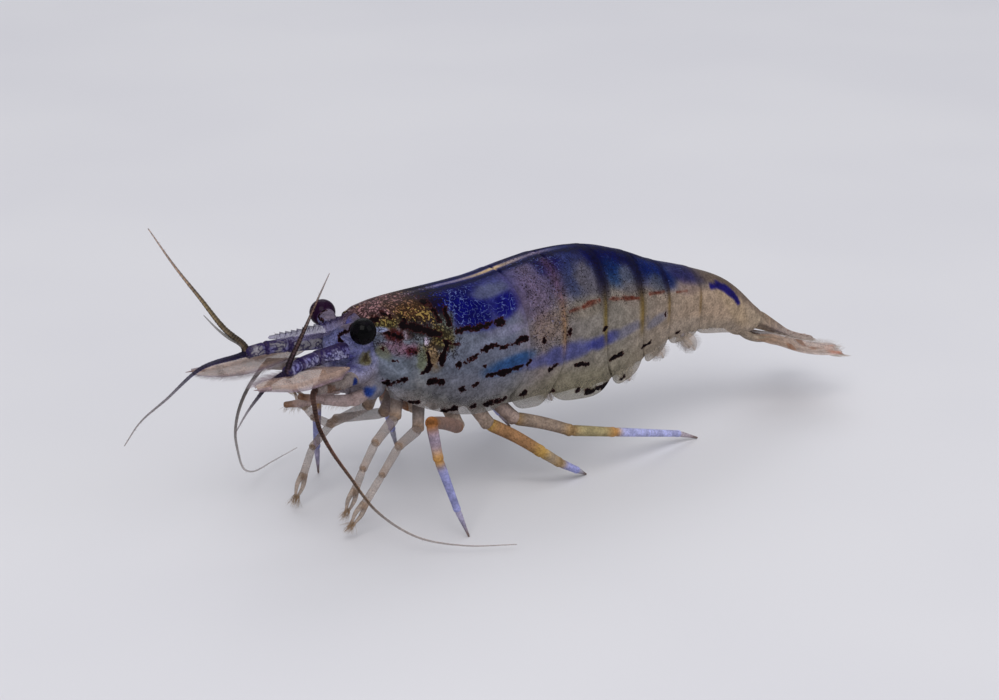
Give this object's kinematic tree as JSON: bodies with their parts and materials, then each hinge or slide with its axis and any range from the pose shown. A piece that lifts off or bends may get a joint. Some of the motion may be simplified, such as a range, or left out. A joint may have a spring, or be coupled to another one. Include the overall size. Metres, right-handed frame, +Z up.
{
  "type": "aquarium shrimp",
  "caption": "Life-size model of a translucent freshwater shrimp standing and grazing, with dashed flanks, stalked eyes, long feelers and a fanned tail.",
  "frame": {"origin": "on the ground under the middle of the whole model's box", "axes": "+Z up; the head points to -X, the animal's left side faces -Y"},
  "size_m": [0.0492, 0.0204, 0.0181],
  "materials": {
    "shell": "translucent grey-beige shell with navy patches, cream back line and rows of brown-black dashes",
    "clear_blade": "clear beige blade with fine brown freckles",
    "limb": "translucent blue-grey limb with orange-brown joints",
    "feeler": "brown ringed feeler, paler towards the tip",
    "eye": "glossy black eye"
  },
  "bodies": {
    "root": {"carapace": "shell", "abdomen_1": "shell", "abdomen_2": "shell", "abdomen_3": "shell", "abdomen_4": "shell", "abdomen_5": "shell", "abdomen_6": "shell", "rostrum": "clear_blade", "head": "shell", "eye_left": "eye", "eyestalk_left": "shell", "antennule_left": "shell", "antennule_left_outer": "feeler", "antennule_left_inner": "feeler", "antenna_left": "limb", "antenna_left_feeler": "feeler", "antenna_left_feeler_end": "feeler", "antenna_scale_left": "clear_blade", "maxilliped_left": "limb", "claw_leg_1_left": "limb", "claw_leg_2_left": "limb", "leg_3_left_upper": "limb", "leg_3_left_lower": "limb", "leg_4_left_upper": "limb", "leg_4_left_lower": "limb", "leg_5_left_upper": "limb", "leg_5_left_lower": "limb", "eye_right": "eye", "eyestalk_right": "shell", "antennule_right": "shell", "antennule_right_outer": "feeler", "antennule_right_inner": "feeler", "antenna_right": "limb", "antenna_right_feeler": "feeler", "antenna_right_feeler_end": "feeler", "antenna_scale_right": "clear_blade", "maxilliped_right": "limb", "claw_leg_1_right": "limb", "claw_leg_2_right": "limb", "leg_3_right_upper": "limb", "leg_3_right_lower": "limb", "leg_4_right_upper": "limb", "leg_4_right_lower": "limb", "leg_5_right_upper": "limb", "leg_5_right_lower": "limb", "swimmeret_1_left": "clear_blade", "swimmeret_1_right": "clear_blade", "swimmeret_2_left": "clear_blade", "swimmeret_2_right": "clear_blade", "swimmeret_3_left": "clear_blade", "swimmeret_3_right": "clear_blade", "swimmeret_4_left": "clear_blade", "swimmeret_4_right": "clear_blade", "swimmeret_5_left": "clear_blade", "swimmeret_5_right": "clear_blade", "telson": "shell", "uropod_left": "clear_blade", "uropod_right": "clear_blade"}
  },
  "joints": []
}
